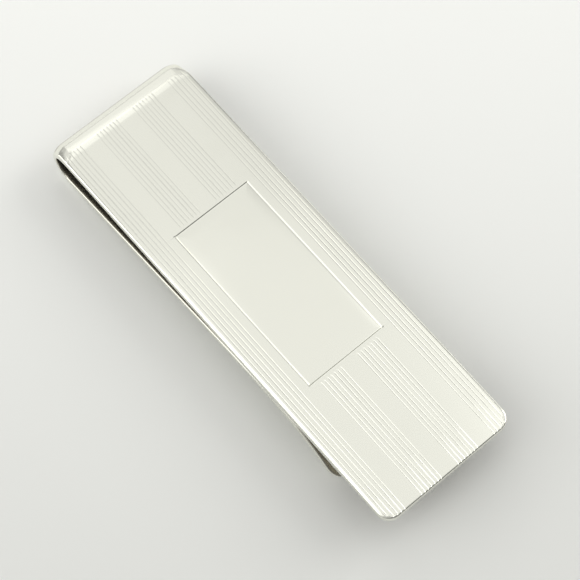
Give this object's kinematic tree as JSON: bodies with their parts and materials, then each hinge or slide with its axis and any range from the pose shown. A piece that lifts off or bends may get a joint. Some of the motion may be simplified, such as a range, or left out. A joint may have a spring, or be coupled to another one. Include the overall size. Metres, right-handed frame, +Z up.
{
  "type": "money clip",
  "caption": "Folded silver money clip with an engraved face leaf, a plain name panel and a sprung back arm that ends in a flared thumb lip.",
  "frame": {"origin": "middle of the underside of the clip's box, on the surface that the clip lies on", "axes": "+X along the clip from the fold to the free end of the face, +Y across the width, +Z up out of the engraved face"},
  "size_m": [0.0516, 0.016, 0.0054],
  "materials": {
    "engraved_silver": "polished silver, brushed very lightly along its length and cut with fine parallel lines",
    "panel_silver": "polished silver, plain, ready for a monogram",
    "plain_silver": "polished silver with light handling scratches"
  },
  "bodies": {
    "face_leaf": {"face_plate": "engraved_silver", "name_panel": "panel_silver", "fold_upper": "plain_silver"},
    "arm_near": {"fold_lower": "plain_silver", "arm_root": "plain_silver"},
    "arm_far": {"arm_mid": "plain_silver", "grip_crest": "plain_silver", "thumb_lip": "plain_silver"}
  },
  "joints": [
    {"name": "fold_flex", "type": "hinge", "parent": "face_leaf", "child": "arm_near", "pos_m": [-0.02533, 0, 0.00265], "axis": [0, 1, 0], "range_deg": [0, 5], "stiffness_Nm_per_rad": 2.5},
    {"name": "arm_flex", "type": "hinge", "parent": "arm_near", "child": "arm_far", "pos_m": [-0.01296, 0, 0.00167], "axis": [0, 1, 0], "range_deg": [0, 2.5], "stiffness_Nm_per_rad": 1}
  ],
  "couplings": [
    {"joint": "arm_flex", "follows": "fold_flex", "ratio": 0.5}
  ]
}
